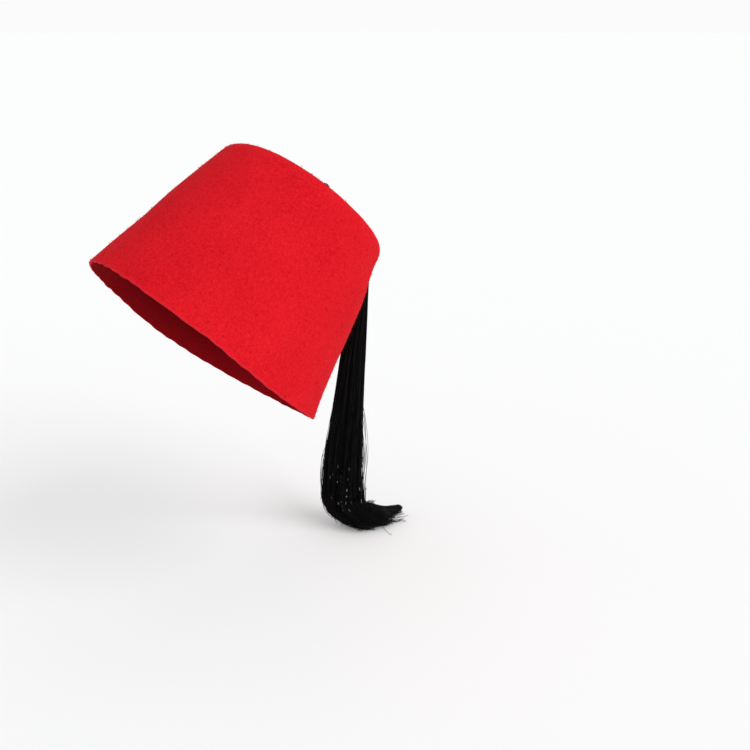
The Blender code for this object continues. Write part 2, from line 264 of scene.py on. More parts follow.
def add_piece(
    name: str,
    points: Array,
    faces: Sequence[Array],
    uv: Array | None = None,
    marks: dict[str, Array] | None = None,
) -> Object:
    """A smooth mesh object at the origin, made from arrays.

    Args:
        name: the piece's name.
        points: its vertices.
        faces: arrays of triangles or quads.
        uv: a place on the strand map for each vertex, if it has one.
        marks: a value for each vertex, by the name that a material reads it under.

    Returns:
        The object, linked to the scene.
    """
    corners = np.concatenate([part.ravel() for part in faces]).astype(np.int32)
    sizes = np.concatenate([np.full(len(part), part.shape[1]) for part in faces])
    mesh = bpy.data.meshes.new(name)
    mesh.vertices.add(len(points))
    mesh.vertices.foreach_set("co", points.astype(np.float32).ravel())
    mesh.loops.add(len(corners))
    mesh.loops.foreach_set("vertex_index", corners)
    mesh.polygons.add(len(sizes))
    mesh.polygons.foreach_set("loop_start", (np.cumsum(sizes) - sizes).astype(np.int32))
    if uv is not None:
        layer = mesh.uv_layers.new(name=STRAND_MAP)
        layer.uv.foreach_set("vector", uv[corners].astype(np.float32).ravel())
    for mark, values in (marks or {}).items():
        layer = mesh.attributes.new(mark, "FLOAT", "POINT")
        layer.data.foreach_set("value", values.astype(np.float32))
    mesh.update(calc_edges=True)
    mesh.shade_smooth()
    return add_object(name, mesh)


def add_rings(
    name: str, rings: Array, looped: bool = False, marks: dict[str, Array] | None = None
) -> Object:
    """A closed piece from rings of points: joined end to end, or closed by a fan at each end.

    Args:
        name: the piece's name.
        rings: points (rings, points of a ring, 3).
        looped: whether the last ring joins the first.
        marks: a value for each point, by its name.

    Returns:
        The object.
    """
    rows, columns = rings.shape[:2]
    points = rings.reshape(-1, 3)
    faces = [grid_faces(rows, columns, looped)]
    if not looped:
        first, count = np.arange(columns), len(points)
        faces += [fan(first[::-1], count), fan(first + count - columns, count + 1)]
        points = np.vstack([points, rings[0].mean(axis=0), rings[-1].mean(axis=0)])
    return add_piece(name, points, facing_out(points, faces), marks=marks)


@dataclass
class Strands:
    """Many thin closed strands in one mesh, each with a cell of its own on the strand map."""

    middle: Array  # points on the strands' middle lines (strands, stations, 3)
    radius: Array  # at each of them
    sides: int = 3

    def rings(self, phase: Array) -> Array:
        """Points round each station of each strand.

        Formula: middle + radius (cos a across + sin a out).

        Args:
            phase: how far each strand is turned about itself.

        Returns:
            Points (strands, stations, sides, 3).
        """
        angle = (phase[:, None] + once_round(self.sides))[:, None]
        axes = [axis[:, :, None] for axis in across_and_out(self.middle)]
        radius = self.radius[..., None]
        return set_off(self.middle[:, :, None], axes, radius * np.cos(angle), radius * np.sin(angle))

    def faces(self) -> list[Array]:
        """Quads along each strand, pointing out, and a flat cap at either end.

        Returns:
            Arrays of quads and of caps.
        """
        count, stations = self.radius.shape
        one = grid_faces(stations, self.sides, False)[:, ::-1]
        start = np.arange(count)[:, None, None] * stations * self.sides
        cap = np.arange(self.sides)[None, None]
        far = cap[..., ::-1] + (stations - 1) * self.sides
        return [(part + start).reshape(-1, part.shape[-1]) for part in (one[None], cap, far)]

    def map_side(self) -> int:
        """How many cells the strand map has a side."""
        return int(np.ceil(sqrt(len(self.radius))))

    def cells(self) -> Array:
        """Places on the strand map, a square of cells with a margin in each.

        Returns:
            (u, v) for each point, u across its strand and v along it.
        """
        count, stations = self.radius.shape
        side = self.map_side()
        number = np.arange(count)[:, None, None]
        across = np.linspace(0.1, 0.9, self.sides)[None, None]
        along = np.linspace(0.05, 0.95, stations)[None, :, None]
        places = ((number % side + across) / side, (number // side + along) / side)
        shape = (count, stations, self.sides)
        return np.stack([np.broadcast_to(place, shape) for place in places], axis=-1).reshape(-1, 2)


# ---- shader expressions ----


def operator(operation: str, swapped: bool = False) -> "Callable[[Socket, Socket | float], Socket]":
    """The method for an operator on two values, or for its reflected form.

    Args:
        operation: the Math node's.
        swapped: whether the other value comes first.

    Returns:
        The method.
    """

    def method(self: "Socket", other: "Socket | float") -> "Socket":
        """One Math node on both values."""
        return self.maths(operation, *((other, self) if swapped else (self, other)))

    return method


class Socket:
    """An output in a node tree, so that shader maths reads as plain expressions."""

    __add__ = __radd__ = operator("ADD")
    __sub__, __rsub__ = operator("SUBTRACT"), operator("SUBTRACT", swapped=True)
    __mul__ = __rmul__ = operator("MULTIPLY")
    __truediv__ = operator("DIVIDE")

    def __init__(self, shader: "Shader", output: bpy.types.NodeSocket) -> None:
        """Keeps the tree's maker and the output."""
        self.shader, self.output = shader, output

    def maths(self, operation: str, *values: "Socket | float") -> "Socket":
        """One Math node on these values."""
        return self.shader.node("ShaderNodeMath", {"operation": operation}, dict(enumerate(values)))

    def floor(self) -> "Socket":
        """The whole number at or below self."""
        return self.maths("FLOOR", self)

    def clamped(self) -> "Socket":
        """self kept from 0 to 1."""
        return self.maths("MINIMUM", self.maths("MAXIMUM", self, 0.0), 1.0)


class Shader:
    """The node tree of a material or a world, emptied, and the expressions that fill it."""

    def __init__(self, owner: Material | bpy.types.World) -> None:
        """Empties the owner's tree.

        Args:
            owner: what the tree belongs to.
        """
        owner.use_nodes = True
        self.owner = owner
        self.tree = owner.node_tree
        self.tree.nodes.clear()

    def node(
        self,
        kind: str,
        settings: dict[str, object] | None = None,
        inputs: dict[str | int, object] | None = None,
        output: str | int = 0,
    ) -> Socket:
        """Any node: its settings are set first, then its sockets are linked or filled.

        Args:
            kind: the node's type.
            settings: its properties.
            inputs: values or sockets by the input's name or number.
            output: the output that comes back.

        Returns:
            That output.
        """
        made = self.tree.nodes.new(kind)
        for key, value in (settings or {}).items():
            setattr(made, key, value)
        for key, value in (inputs or {}).items():
            if isinstance(value, Socket):
                self.tree.links.new(value.output, made.inputs[key])
            else:
                made.inputs[key].default_value = value
        return Socket(self, made.outputs[output])

    def place(self) -> Socket:
        """Object coordinates, in metres."""
        return self.node("ShaderNodeTexCoord", output="Object")

    def part_of(self, vector: Socket, letter: str) -> Socket:
        """A vector's X, Y or Z."""
        return self.node("ShaderNodeSeparateXYZ", inputs={"Vector": vector}, output=letter)

    def mark(self, name: str) -> Socket:
        """The value that the mesh's points carry under a name."""
        return self.node("ShaderNodeAttribute", {"attribute_name": name}, output="Fac")

    def noise(self, where: Socket, scale: float, detail: float = 2, distortion: float = 0) -> Socket:
        """Noise from 0 to 1, with so many lumps a metre and octaves, stirred by the distortion."""
        values = {"Vector": where, "Scale": scale, "Detail": detail, "Distortion": distortion}
        return self.node("ShaderNodeTexNoise", inputs=values)

    def mix(self, factor: Socket, low: Colour | Socket, high: Colour | Socket) -> Socket:
        """A colour between two, by a factor."""
        low, high = (c if isinstance(c, Socket) else (*c, 1.0) for c in (low, high))
        return self.node("ShaderNodeMix", {"data_type": "RGBA"}, {0: factor, 6: low, 7: high}, 2)

    def bump(self, height: Socket, strength: float, distance: float) -> Socket:
        """A normal from a height from 0 to 1, that distance tall."""
        values = {"Height": height, "Strength": strength, "Distance": distance}
        return self.node("ShaderNodeBump", inputs=values)

    def strand_shade(self, cells: int) -> Socket:
        """A random value for each strand, from the number of its cell on the strand map.

        Args:
            cells: how many cells the map has a side.

        Returns:
            A value from 0 to 1.
        """
        where = self.node("ShaderNodeUVMap", {"uv_map": STRAND_MAP})
        u, v = ((self.part_of(where, letter) * cells).floor() for letter in "XY")
        values = {"W": u + v * cells}
        return self.node("ShaderNodeTexWhiteNoise", {"noise_dimensions": "1D"}, values)

    def finish(self, **inputs: object) -> Material:
        """Feeds the Principled shader and the output.

        Args:
            **inputs: values or sockets by the input's name, with _ for a space.

        Returns:
            The material.
        """
        named = {key.replace("_", " "): value for key, value in inputs.items()}
        self.send(self.node("ShaderNodeBsdfPrincipled", inputs=named))
        return self.owner

    def send(self, surface: Socket, kind: str = "ShaderNodeOutputMaterial") -> None:
        """Sends a surface to the tree's output."""
        made = self.tree.nodes.new(kind)
        self.tree.links.new(surface.output, made.inputs["Surface"])


# ---- finishes ----


class Finish:
    """A finish: its name, and the shader of the material that has it."""

    name: str

    def shader(self) -> Shader:
        """An empty tree for the finish."""
        return Shader(bpy.data.materials.new(self.name))


@dataclass(frozen=True)
class FeltFinish(Finish):
    """Dyed wool felt: matt, softly mottled, with a pebble of matted fibres."""

    name: str = "red wool felt"
    deep: Colour = (0.445, 0.0022, 0.0085)
    bright: Colour = (0.66, 0.0118, 0.0185)
    # painted shade: the dark red of the inner face deep in the hat, standing in for the shade inside it
    painted_inner_shade: Colour = (0.105, 0.0012, 0.0032)  # the inner face, where it is deep
    trimmed: Colour = (0.60, 0.0170, 0.0290)  # the cut edge
    pebble_scale: float = 640.0
    fibre_scale: float = 1900.0
    cloud_scale: float = 26.0
    contrasts: Triple = (1.5, 1.2, 0.5)  # of the pebble, the fibres and the clouds
    roughness: float = 0.95
    pebble: float = 0.00030

    def material(self) -> Material:
        """Colour from three scales of noise, a paler cut edge and painted shade on the inner face, and a
        bump of stirred fibres.

        Returns:
            The material.
        """
        shader = self.shader()
        place = shader.place()
        fibres = shader.noise(place, self.fibre_scale, distortion=1.5)
        pebble = shader.noise(place, self.pebble_scale, distortion=0.8)
        clouds = shader.noise(place, self.cloud_scale)
        a, b, c = self.contrasts
        tone = 0.5 + (pebble - 0.5) * a + (fibres - 0.5) * b + (clouds - 0.5) * c
        outer = shader.mix(tone.clamped(), self.deep, self.bright)
        cut = shader.mix(shader.mark("cut"), outer, self.trimmed)
        return shader.finish(
            # painted shade: the inside mark darkens the inner face towards this dark red, fully deep in
            # the hat
            Base_Color=shader.mix(shader.mark("inside"), cut, self.painted_inner_shade),
            Roughness=self.roughness,
            Specular_IOR_Level=0.05,
            Normal=shader.bump((fibres + pebble) * 0.5, strength=0.7, distance=self.pebble),
        )


@dataclass(frozen=True)
class FibreFinish(Finish):
    """Loose wool fibres, a little lighter than the felt that they stand out of."""

    name: str = "loose red fibres"
    deep: Colour = (0.64, 0.0040, 0.0100)
    bright: Colour = (0.88, 0.0120, 0.0190)

    def material(self, cells: int) -> Material:
        """One shade for each fibre, drawn by its cell of the strand map.

        Args:
            cells: how many cells the map has a side.

        Returns:
            The material.
        """
        shader = self.shader()
        colour = shader.mix(shader.strand_shade(cells), self.deep, self.bright)
        return shader.finish(Base_Color=colour, Roughness=0.9, Specular_IOR_Level=0.1)


@dataclass(frozen=True)
class ThreadFinish(Finish):
    """Black rayon thread, each thread of its own shade, with a painted silver glint here and there."""

    name: str = "black rayon thread"
    deep: Colour = (0.0005, 0.0005, 0.0006)
    bright: Colour = (0.0125, 0.0118, 0.0115)
    # painted highlight: the pale colour that the base colour takes where a thread glints
    painted_glint: Colour = (0.42, 0.42, 0.415)
    fleck_scale: float = 900.0
    shares: Triple = (0.8, 0.5, -0.15)  # of the thread's own shade and the fleck, and a base
    glint_scale: float = 340.0
    glint_level: float = 0.63  # of the noise, above which it glints
    glint_edge: float = 16.0  # how sharply a glint begins
    choice_edge: float = 1000.0  # how sharply threads that glint are parted from the rest
    glinting: float = 0.07  # the share of threads that glint
    glint_heights: Span = (-0.172, -0.125)  # only threads between them do
    roughness: float = 0.45
    shine: float = 0.04

    def material(self, cells: int) -> Material:
        """Shade by thread, a fine fleck along it, and painted glints (highlights put into the base
        colour) low down at a coarser noise's peaks.

        Args:
            cells: how many cells the strand map has a side.

        Returns:
            The material.
        """
        shader = self.shader()
        place = shader.place()
        drawn = shader.strand_shade(cells)
        own, fleck, base = self.shares
        tone = drawn * drawn * own + shader.noise(place, self.fleck_scale) * fleck + base
        lumps = shader.noise(place, self.glint_scale, detail=0)
        peak = ((lumps - self.glint_level) * self.glint_edge).clamped()
        chosen = ((self.glinting - drawn) * self.choice_edge).clamped()
        height = shader.part_of(place, "Z")
        low, high = self.glint_heights
        # the band of heights in which the painted glints show
        glint_band = ((high - height) * (height - low) * (4 / (high - low) ** 2)).clamped()
        dark = shader.mix(tone.clamped(), self.deep, self.bright)
        return shader.finish(
            Base_Color=shader.mix(peak * chosen * glint_band, dark, self.painted_glint),
            Roughness=self.roughness,
            Specular_IOR_Level=self.shine,
        )


@dataclass(frozen=True)
class WoundFinish(Finish):
    """The same black thread where it is wound or twisted, with its turns in the mesh."""

    name: str = "wound black thread"
    deep: Colour = (0.0006, 0.0006, 0.0007)
    bright: Colour = (0.0052, 0.0048, 0.0047)
    roughness: float = 0.24
    shine: float = 0.11
    fleck_scale: float = 1400.0
    fleck: float = 0.00008

    def material(self) -> Material:
        """Shade from a fine noise, which also roughens the surface.

        Returns:
            The material.
        """
        shader = self.shader()
        fleck = shader.noise(shader.place(), self.fleck_scale, detail=3, distortion=0.6)
        return shader.finish(
            Base_Color=shader.mix(fleck, self.deep, self.bright),
            Roughness=self.roughness,
            Specular_IOR_Level=self.shine,
            Normal=shader.bump(fleck, strength=0.4, distance=self.fleck),
        )


@dataclass(frozen=True)
class FloorFinish(Finish):
    """Plain pale paper, lit a little from within as a studio's white floor is from all sides."""

    name: str = "pale floor"
    colour: Colour = (0.760, 0.765, 0.767)
    glow: float = 0.112
    tooth_scale: float = 400.0
    tooth: float = 0.0002

    def material(self) -> Material:
        """One colour, with the faintest tooth.

        Returns:
            The material.
        """
        shader = self.shader()
        tooth = shader.noise(shader.place(), self.tooth_scale)
        return shader.finish(
            Base_Color=(*self.colour, 1.0),
            Roughness=0.9,
            Specular_IOR_Level=0.0,
            Emission_Color=(1.0, 1.0, 1.0, 1.0),
            Emission_Strength=self.glow,
            Normal=shader.bump(tooth, strength=0.05, distance=self.tooth),
        )


# ---- what every piece has ----


def dress(piece: Object, finish: Material, slot: Slot, node: str | None) -> Object:
    """Gives a piece its material, and its place in the part.

    Args:
        piece: the object.
        finish: its material.
        slot: the record's slot that it would take its finish from; not used.
        node: the CAD node that it stands for, if there is one.

    Returns:
        The piece.
    """
    piece.data.materials.append(finish)
    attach(piece, BODY)
    if node is not None:
        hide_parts(node)
    return piece


class Piece:
    """A piece of the hat: it has random draws of its own, and a place in the part."""

    name: str
    finish: Finish
    slot: Slot = Slot.TASSEL
    node: str | None = "tassel"  # the CAD node that it stands for, if there is one
    seed: int = SEED

    @cached_property
    def rng(self) -> np.random.Generator:
        """The piece's own random draws."""
        return np.random.default_rng(self.seed)

    def made(self) -> tuple[Object, Material]:
        """The piece's object and its material."""
        raise NotImplementedError

    def build(self) -> Object:
        """Makes the piece and dresses it."""
        return dress(*self.made(), self.slot, self.node)


class RingPiece(Piece):
    """A piece whose faces join rings of points, which its own method works out."""

    looped: bool = False

    def marks(self) -> dict[str, Array]:
        """Values that its points carry, by name."""
        return {}

    def made(self) -> tuple[Object, Material]:
        """The rings in one mesh, and the finish."""
        piece = add_rings(self.name, self.rings(), self.looped, self.marks())
        return piece, self.finish.material()


class StrandPiece(Piece):
    """A piece that is many strands, which its own method works out."""

    def made(self) -> tuple[Object, Material]:
        """The strands in one mesh, each turned about itself at random, and the finish.

        Returns:
            The object and its material.
        """
        strands = self.strands()
        points = strands.rings(self.rng.uniform(0, tau, len(strands.middle))).reshape(-1, 3)
        piece = add_piece(self.name, points, strands.faces(), strands.cells())
        return piece, self.finish.material(strands.map_side())


# ---- the crown ----


class Swell(NamedTuple):
    """A place where the felt stands out from the block's form, or in where it is negative."""

    turn: float  # round the axis from the back towards the wearer's left, in degrees
    height: float  # as a share of the side
    amount: float
    turn_spread: float  # in degrees
    height_spread: float


@dataclass
class Crown(RingPiece):
    """The felt cone with its rounded shoulder and low dome, and the hole for the cord."""

    name, slot, node, looped = "felt_crown", Slot.FELT, "crown", True
    rim_half_length: float = 0.0990
    rim_half_width: float = 0.0848
    top_radius: float = 0.0670
    side_height: float = 0.1305
    shoulder_radius: float = 0.0131
    dome_rise: float = 0.0091
    rim_saddle: float = 0.0035
    rim_lift: float = 0.0016  # by each temple
    lift_turn: float = radians(113.5)
    lift_spread: float = radians(20.5)
    saddle_top: float = 2 / 3
    felt: float = 0.0020
    hole_radius: float = 0.0016
    edge_round: float = 0.0004  # how far the cut edge is rounded
    edge_power: float = 0.6  # 1 would make it a half circle
    edge_band: float = 0.0022  # how far up the face the cut has roughened the felt
    roughened: float = 0.6  # how much, just over the edge
    # the inner face's painted shade: lighter near the rim, where light reaches in
    lit_depth: float = 0.035  # how far up the inner face light reaches from the rim
    shaded: float = 0.62  # how dark that face is at the rim, 1 being its darkest
    turns: int = 400
    side_rows: int = 46
    shoulder_rows: int = 16
    dome_rows: int = 30
    edge_rows: int = 9
    lump: float = 0.00011
    lump_waves: int = 28
    lump_lengths: Span = (0.014, 0.050)
    trim: float = 0.00017  # how unevenly the rim is cut
    trim_fade: float = 0.006
    trim_waves: int = 16
    trim_counts: tuple[int, int] = (10, 60)  # waves to the round
    swells: tuple[Swell, ...] = (
        Swell(211, 0.62, 0.0009, 45, 0.20),
        Swell(165, 1.00, -0.0014, 35, 0.12),
        Swell(31, 0.16, -0.0023, 40, 0.29),
        Swell(31, 0.90, -0.0027, 45, 0.14),
        Swell(79, 1.02, -0.0022, 50, 0.055),
        Swell(52, 1.00, 0.0015, 35, 0.038),
    )
    finish: FeltFinish = FeltFinish()

    def __post_init__(self) -> None:
        """Works out the outline's lines and arcs."""
        self.mean_rim = (self.rim_half_length + self.rim_half_width) / 2
        self.taper = (self.mean_rim - self.top_radius) / self.side_height
        self.side_angle = atan(self.taper)
        self.dome_radius = (self.top_radius**2 + self.dome_rise**2) / (2 * self.dome_rise)
        self.apex = self.side_height + self.dome_rise
        self.dome_centre = self.apex - self.dome_radius

    def shoulder_centre(self) -> Span:
        """The middle of the shoulder.

        Formula: it lies a shoulder radius in from the side, on the line radius = offset - taper
        height, and a dome radius less a shoulder radius from the dome's centre, which gives a
        quadratic in the height.

        Returns:
            Radius and height.
        """
        offset = self.mean_rim - self.shoulder_radius / cos(self.side_angle)
        a = 1 + self.taper**2
        b = -2 * (offset * self.taper + self.dome_centre)
        c = offset**2 + self.dome_centre**2 - (self.dome_radius - self.shoulder_radius) ** 2
        height = (-b + sqrt(b * b - 4 * a * c)) / (2 * a)
        return offset - self.taper * height, height

    def outline(self) -> Array:
        """The line that is turned into the outer face: a straight side and two arcs.

        Returns:
            (radius, height) from just over the rim up the side, round the shoulder, in to the hole.
        """
        radius, height = self.shoulder_centre()
        dome_start = atan((height - self.dome_centre) / radius)
        side_top = height + self.shoulder_radius * sin(self.side_angle)
        up = np.linspace(self.edge_band, side_top, self.side_rows - 2, endpoint=False)
        up = np.concatenate([[self.edge_round, self.edge_band / 2], up])
        bend = np.linspace(self.side_angle, dome_start, self.shoulder_rows, endpoint=False)
        hole = pi / 2 - (self.hole_radius + self.edge_round / 2) / self.dome_radius
        side = np.stack([self.mean_rim - self.taper * up, up], axis=1)
        shoulder = arc((radius, height), self.shoulder_radius, bend)
        over = np.linspace(dome_start, hole, self.dome_rows)
        return np.concatenate([side, shoulder, arc((0, self.dome_centre), self.dome_radius, over)])

    def swelling(self, turn: Array, rise: Array) -> Array:
        """How far the felt stands out: a bell over turn and height for each swell, added up.

        Formula: amount e^(-(turn apart / spread)^2 - (height apart / spread)^2).

        Args:
            turn: angles from the back.
            rise: heights as shares of the side.

        Returns:
            Metres, negative where the felt is drawn in.
        """
        total = np.zeros(np.broadcast(turn, rise).shape)
        for swell in self.swells:
            apart = (turn - radians(swell.turn) + pi) % tau - pi
            across = apart / radians(swell.turn_spread)
            above = (rise - swell.height) / swell.height_spread
            total += swell.amount * np.exp(-(across**2) - above**2)
        return total

    def pressed(self) -> Array:
        """The outer face as the oval block leaves it.

        Formula: a section is a circle at the top and an ellipse at the rim, and both half
        sizes change evenly with height. The rim waves by the saddle times cos^2 - sin^2 of
        the turn and lifts in a bell by each temple, which both fade up the side, and the
        swells push the felt out.

        Returns:
            Points (rows, turns, 3) in the hat's own frame.
        """
        radius, height = self.outline().T[..., None]
        turn = once_round(self.turns)
        back, across = np.cos(turn), np.sin(turn)
        share = radius / (self.mean_rim - self.taper * height)
        rise = height / self.side_height
        halves = (self.rim_half_width, self.rim_half_length)
        wide_half, long_half = (half + (self.top_radius - half) * rise for half in halves)
        fade = np.maximum(0, 1 - rise / self.saddle_top)
        from_lift = (np.abs((turn + pi) % tau - pi) - self.lift_turn) / self.lift_spread
        wave = self.rim_saddle * (back**2 - across**2) + self.rim_lift * np.exp(-(from_lift**2))
        level = height + wave * fade
        face = np.stack([wide_half * share * across, long_half * share * back, level], -1)
        outwards = unit(face - np.array([0, 0, self.side_height / 2]))
        push = self.swelling(turn, rise) * np.minimum(1, share)
        return face + outwards * push[..., None]

    def normals(self, face: Array) -> Array:
        """Unit vectors out of a face whose rows go from the rim in to the hole: up x round."""
        around = np.roll(face, -1, axis=1) - np.roll(face, 1, axis=1)
        return unit(np.cross(np.gradient(face, axis=0), around))

    def lumps(self, points: Array) -> Array:
        """The felt's slow unevenness: plane waves in random directions, added up.

        Args:
            points: where it is wanted.

        Returns:
            Metres outwards.
        """
        count = self.lump_waves
        directions = unit(self.rng.normal(size=(count, 3)))
        waves = directions * (tau / self.rng.uniform(*self.lump_lengths, count))[:, None]
        phases = self.rng.uniform(0, tau, count)
        return np.cos(points @ waves.T + phases).sum(axis=-1) / sqrt(count / 2) * self.lump

    def trimming(self) -> Array:
        """How far the cut rim strays: waves round it, added up.

        Returns:
            Metres (1, turns, 1).
        """
        counts = self.rng.integers(*self.trim_counts, self.trim_waves)
        phases = self.rng.uniform(0, tau, self.trim_waves)
        waves = np.cos(once_round(self.turns)[..., None] * counts + phases)
        return waves.sum(axis=-1, keepdims=True) / sqrt(self.trim_waves / 2) * self.trim

    @cached_property
    def face(self) -> Array:
        """The outer face with its lumps, and the rim as unevenly cut as it is.

        Returns:
            Points (rows, turns, 3) in the hat's own frame.
        """
        face = self.pressed()
        face = face + self.normals(face) * self.lumps(face)[..., None]
        near_rim = np.exp(-self.outline()[:, 1] / self.trim_fade)[:, None, None]
        down, out = unit(face[:1] - face[1:2]), self.normals(face)[:1]
        return face + near_rim * (down * self.trimming() + out * self.trimming())

    def cut_edge(self, start: Array, end: Array, away: Array, depth: float) -> Array:
        """Rows across a cut edge from one face to the other, flat with rounded corners.

        Formula: a point goes along half a superellipse of power 2 / edge_power, whose half
        width is half the wall and whose height is the depth.

        Args:
            start: the ring of points on one face.
            end: the ring on the other.
            away: the direction in which the edge faces, at each point.
            depth: how far its corners are rounded.

        Returns:
            Points (rows, turns, 3).
        """
        angle = np.linspace(0, pi, self.edge_rows + 2)[1:-1, None, None]
        shift = -np.sign(np.cos(angle)) * np.abs(np.cos(angle)) ** self.edge_power
        bulge = depth * np.sin(angle) ** self.edge_power
        return (start + end) / 2 + (end - start) / 2 * shift + away * bulge

    def rings(self) -> Array:
        """The felt wall as one loop of rows: outer face, hole, inner face and cut rim.

        Returns:
            Points (rows, turns, 3).
        """
        face = self.face
        inner = face - self.normals(face) * self.felt
        rim = self.cut_edge(inner[0], face[0], unit(face[0] - face[1]), self.edge_round)
        hole = self.cut_edge(face[-1], inner[-1], unit(face[-1] - face[-2]), self.edge_round / 2)
        return leaned(np.concatenate([face, hole, inner[self.inner_rows()][::-1], rim]))

    def marks(self) -> dict[str, Array]:
        """How much painted shade each point takes on the inner face, lighter near the rim, and how far
        it is cut.

        Returns:
            Values from 0 to 1, by name.
        """
        height = self.outline()[:, 1]
        band = self.roughened * smoothstep(self.edge_band, 0, height)
        # painted shade: from the shaded share at the rim up to full darkness lit_depth into the hat
        deep = self.shaded + (1 - self.shaded) * smoothstep(0, self.lit_depth, height)
        deep, edge = deep[self.inner_rows()][::-1], np.zeros(self.edge_rows)
        rows = {"inside": (band * 0, edge, deep, edge), "cut": (band, edge + 1, deep * 0, edge + 1)}
        return {name: np.repeat(np.concatenate(part), self.turns) for name, part in rows.items()}

    def inner_rows(self) -> Array:
        """The rows of the outer face that the inner face follows: half of them, and both ends."""
        count = self.side_rows + self.shoulder_rows + self.dome_rows
        return np.unique(np.concatenate([[0, 1], np.arange(2, count, 2), [count - 1]]))

    def dome_height(self, distance: float) -> float:
        """Height of the felt's outer face at this distance from the hat's axis."""
        return self.dome_centre + sqrt(self.dome_radius**2 - distance**2)


@dataclass
class FeltFuzz(StrandPiece):
    """Loose wool fibres that stand out of the felt: single ones all over, and small tufts."""

    name, slot, node, seed = "felt_fuzz", Slot.FELT, None, SEED + 1
    crown: Crown
    single: int = 8400
    tufts: int = 950
    fibres_in_tuft: int = 6
    tuft_spread: float = 0.00025
    length: Span = (0.0006, 0.0018)
    lean: Span = (20.0, 80.0)  # from the normal, in degrees
    bend: Span = (0.5, 0.3)  # anyhow, and back towards the felt
    taper: Triple = (1.0, 0.8, 0.3)
    single_radius: float = 0.000034
    tuft_radius: float = 0.000078
    at_rim: float = 4.0  # how many times as thick the fuzz is on the rim's last rows
    rooted: float = 0.0001  # how deep a fibre starts under the face
    finish: FibreFinish = FibreFinish()

    def roots(self, count: int) -> tuple[Array, Array, Array]:
        """Random places over the face by area, and more of them on the rim.

        Args:
            count: how many.

        Returns:
            The places, and the normal and one tangent at each.
        """
        face = self.crown.face
        along = np.roll(face, -1, axis=1) - face
        up = np.diff(face, axis=0, append=face[-1:])
        area = np.linalg.norm(np.cross(along, up), axis=-1)
        area[:2] *= self.at_rim
        cell = self.rng.choice(area.size, count, p=area.ravel() / area.sum())
        shares = self.rng.uniform(0, 1, (2, count, 1))
        grids = (face, along, up, self.crown.normals(face))
        at, beside, above, normal = (grid.reshape(-1, 3)[cell] for grid in grids)
        return at + beside * shares[0] + above * shares[1], normal, unit(beside)

    def fibres(
        self, root: Array, normal: Array, tangent: Array, radius: float
    ) -> tuple[Array, Array]:
        """Each fibre leaves at its lean and bends: root + length (s first + s^2 bend / 2).

        Args:
            root: where the fibres start.
            normal: out of the face at each.
            tangent: along it.
            radius: of a fibre at its root.

        Returns:
            The middle lines and the radii.
        """
        count = len(root)
        swing = self.rng.uniform(0, tau, (count, 1))
        lean = np.radians(self.rng.uniform(*self.lean, (count, 1)))
        level = tangent * np.cos(swing) + np.cross(normal, tangent) * np.sin(swing)
        first = normal * np.cos(lean) + level * np.sin(lean)
        bend = self.rng.normal(size=(count, 3)) * self.bend[0] - normal * self.bend[1]
        length = self.rng.uniform(*self.length, (count, 1, 1))
        share = np.array([0.0, 0.5, 1.0])[None, :, None]
        way = share * first[:, None] + share**2 * bend[:, None] / 2
        middle = (root - normal * self.rooted)[:, None] + length * way
        return middle, np.broadcast_to(radius * np.array(self.taper), (count, 3))

    def strands(self) -> Strands:
        """The single fibres, and in each tuft a few stouter ones from nearly the same root.

        Returns:
            The fibres.
        """
        single = self.fibres(*self.roots(self.single), self.single_radius)
        tufts = self.roots(self.tufts)
        root, normal, tangent = (np.repeat(part, self.fibres_in_tuft, axis=0) for part in tufts)
        root = root + self.rng.normal(0, self.tuft_spread, root.shape)
        tufted = self.fibres(root, normal, tangent, self.tuft_radius)
        middle, radius = (np.concatenate(pair) for pair in zip(single, tufted))
        return Strands(leaned(middle), radius)


# ---- the cord, the knob and the binding ----


@dataclass
class KnobSeat:
    """Where the knob sits over the top, and the line from it to the shoulder."""

    crown: Crown
    turn: float = radians(7.0)  # from straight back towards the wearer's right
    distance: float = 0.0450
    height: float = 0.0061
    dip: float = radians(14.0)

    def place(self, distance: float, height: float) -> Array:
        """The point so far from the hat's axis, on the knob's side, at this height."""
        return np.array([-distance * sin(self.turn), distance * cos(self.turn), height])

    def over_top(self, distance: float, height: float) -> Array:
        """The point so far from the hole towards the knob, so high over the felt."""
        return self.place(distance, self.crown.dome_height(distance) + height)

    def towards(self) -> Array:
        """The unit vector from the knob to the shoulder."""
        return self.place(cos(self.dip), -sin(self.dip))

    def on_line(self, along: float) -> Array:
        """The point so far from the middle of the knob's base, towards the shoulder."""
        return self.over_top(self.distance, self.height) + along * self.towards()

    def turned(self, rings: Array, along: float) -> Array:
        """Points turned about z, put on the knob's line.

        Args:
            rings: the points.
            along: how far their base is from the knob's, towards the shoulder.

        Returns:
            Points of the same form, as the worn hat has them.
        """
        axis = -self.towards()
        side = unit(np.cross([0.0, 0, 1], axis))
        return leaned(self.on_line(along) + rings @ np.stack([side, np.cross(axis, side), axis]))


